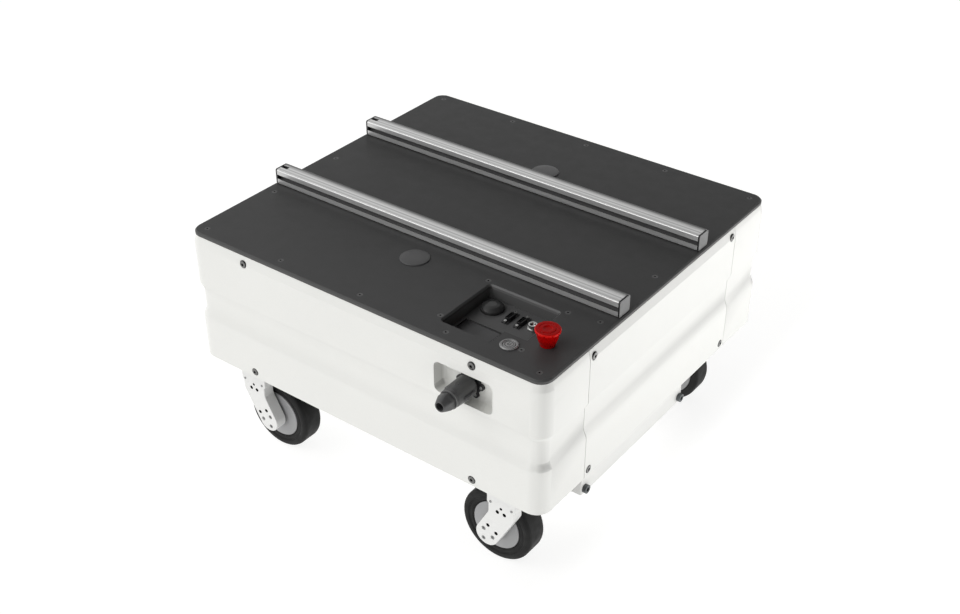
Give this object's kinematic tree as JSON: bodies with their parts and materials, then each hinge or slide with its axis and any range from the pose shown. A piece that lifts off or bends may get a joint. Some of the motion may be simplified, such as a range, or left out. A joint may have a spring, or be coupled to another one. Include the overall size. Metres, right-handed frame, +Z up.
{
  "type": "autonomous mobile robot platform",
  "caption": "Low omnidirectional autonomous mobile robot platform with steered drive wheels, white covers, a dark deck with slotted rails, a control tray, an emergency stop and a charging plug",
  "frame": {"origin": "centre of the overall footprint on the floor, under the middle of the overall bounding box", "axes": "+Z up, -Y front (charging connector face), +X right side"},
  "size_m": [0.7546, 0.765, 0.478],
  "materials": {
    "deck_grey": "fine textured powder coat, dark grey",
    "zinc_steel": "zinc plated",
    "black_oxide_steel": "black oxide, lightly oiled",
    "grey_plastic": "moulded, satin",
    "mill_aluminium": "extruded and clear anodised",
    "anodised_strip": "satin",
    "white_paint": "satin paint, off-white",
    "black_plastic": "moulded, satin",
    "display_grey": "moulded, satin",
    "nickel_brass": "nickel plated",
    "button_steel": "turned, satin",
    "red_plastic": "moulded, glossy",
    "frame_steel": "powder coated",
    "case_aluminium": "anodised",
    "motor_black": "painted",
    "cast_white": "satin paint, cool white",
    "housing_aluminium": "machined casting",
    "hub_grey": "cast, satin",
    "tread_rubber": "worn satin rubber"
  },
  "bodies": {
    "chassis": {"antenna_dome": "black_plastic", "battery_packs": "black_plastic", "belly_bolts": "black_oxide_steel", "belly_box": "white_paint", "charge_receptacle": "black_plastic", "chassis_frame": "frame_steel", "control_tray": "deck_grey", "cover_screws": "zinc_steel", "deck_caps": "grey_plastic", "deck_plate": "deck_grey", "deck_screws": "zinc_steel", "drive_motors": "motor_black", "estop_collar": "black_plastic", "front_cover": "white_paint", "front_rail": "mill_aluminium", "left_side_panel": "white_paint", "motor_drives": "case_aluminium", "onboard_computer": "case_aluminium", "port_screws": "zinc_steel", "power_button_bezel": "button_steel", "rail_bolts": "zinc_steel", "rail_end_caps": "grey_plastic", "rail_slot_strips": "anodised_strip", "rear_cover": "white_paint", "rear_rail": "mill_aluminium", "receptacle_screws": "zinc_steel", "right_side_panel": "white_paint", "serial_ports": "black_plastic", "service_connector": "nickel_brass", "status_display": "display_grey", "steering_housing_front_left": "housing_aluminium", "steering_housing_front_right": "housing_aluminium", "steering_housing_rear_left": "housing_aluminium", "steering_housing_rear_right": "housing_aluminium", "steering_motors": "motor_black"},
    "power_cap": {"power_button_cap": "button_steel"},
    "estop_head": {"estop_button": "red_plastic"},
    "charge_lead": {"charge_plug": "black_plastic", "plug_gland_nut": "black_plastic"},
    "swivel_front_left": {"swivel_head_front_left": "cast_white", "drive_arm_front_left": "cast_white", "arm_screws_front_left": "zinc_steel"},
    "wheel_front_left": {"wheel_hub_front_left": "hub_grey", "tyre_front_left": "tread_rubber"},
    "swivel_front_right": {"swivel_head_front_right": "cast_white", "drive_arm_front_right": "cast_white", "arm_screws_front_right": "zinc_steel"},
    "wheel_front_right": {"wheel_hub_front_right": "hub_grey", "tyre_front_right": "tread_rubber"},
    "swivel_rear_left": {"swivel_head_rear_left": "cast_white", "drive_arm_rear_left": "cast_white", "arm_screws_rear_left": "zinc_steel"},
    "wheel_rear_left": {"wheel_hub_rear_left": "hub_grey", "tyre_rear_left": "tread_rubber"},
    "swivel_rear_right": {"swivel_head_rear_right": "cast_white", "drive_arm_rear_right": "cast_white", "arm_screws_rear_right": "zinc_steel"},
    "wheel_rear_right": {"wheel_hub_rear_right": "hub_grey", "tyre_rear_right": "tread_rubber"}
  },
  "joints": [
    {"name": "power_press", "type": "slide", "parent": "chassis", "child": "power_cap", "axis": [0, 0, -1], "range_m": [0, 0.0015], "stiffness_N_per_m": 1200, "springref_m": -0.001},
    {"name": "estop_press", "type": "slide", "parent": "chassis", "child": "estop_head", "axis": [0, 0, -1], "range_m": [0, 0.004]},
    {"name": "charge_unplug", "type": "slide", "parent": "chassis", "child": "charge_lead", "axis": [0, -1, 0], "range_m": [0, 0.04]},
    {"name": "steer_front_left", "type": "hinge", "parent": "chassis", "child": "swivel_front_left", "pos_m": [-0.28, -0.25235, 0.23], "axis": [0, 0, 1], "continuous": true},
    {"name": "roll_front_left", "type": "hinge", "parent": "swivel_front_left", "child": "wheel_front_left", "pos_m": [-0.2514, -0.25235, 0.07], "axis": [0, 1, 0], "continuous": true},
    {"name": "steer_front_right", "type": "hinge", "parent": "chassis", "child": "swivel_front_right", "pos_m": [0.28, -0.25235, 0.23], "axis": [0, 0, 1], "continuous": true},
    {"name": "roll_front_right", "type": "hinge", "parent": "swivel_front_right", "child": "wheel_front_right", "pos_m": [0.2514, -0.25235, 0.07], "axis": [0, 1, 0], "continuous": true},
    {"name": "steer_rear_left", "type": "hinge", "parent": "chassis", "child": "swivel_rear_left", "pos_m": [-0.28, 0.30665, 0.23], "axis": [0, 0, 1], "continuous": true},
    {"name": "roll_rear_left", "type": "hinge", "parent": "swivel_rear_left", "child": "wheel_rear_left", "pos_m": [-0.2514, 0.30665, 0.07], "axis": [0, 1, 0], "continuous": true},
    {"name": "steer_rear_right", "type": "hinge", "parent": "chassis", "child": "swivel_rear_right", "pos_m": [0.28, 0.30665, 0.23], "axis": [0, 0, 1], "continuous": true},
    {"name": "roll_rear_right", "type": "hinge", "parent": "swivel_rear_right", "child": "wheel_rear_right", "pos_m": [0.2514, 0.30665, 0.07], "axis": [0, 1, 0], "continuous": true}
  ]
}
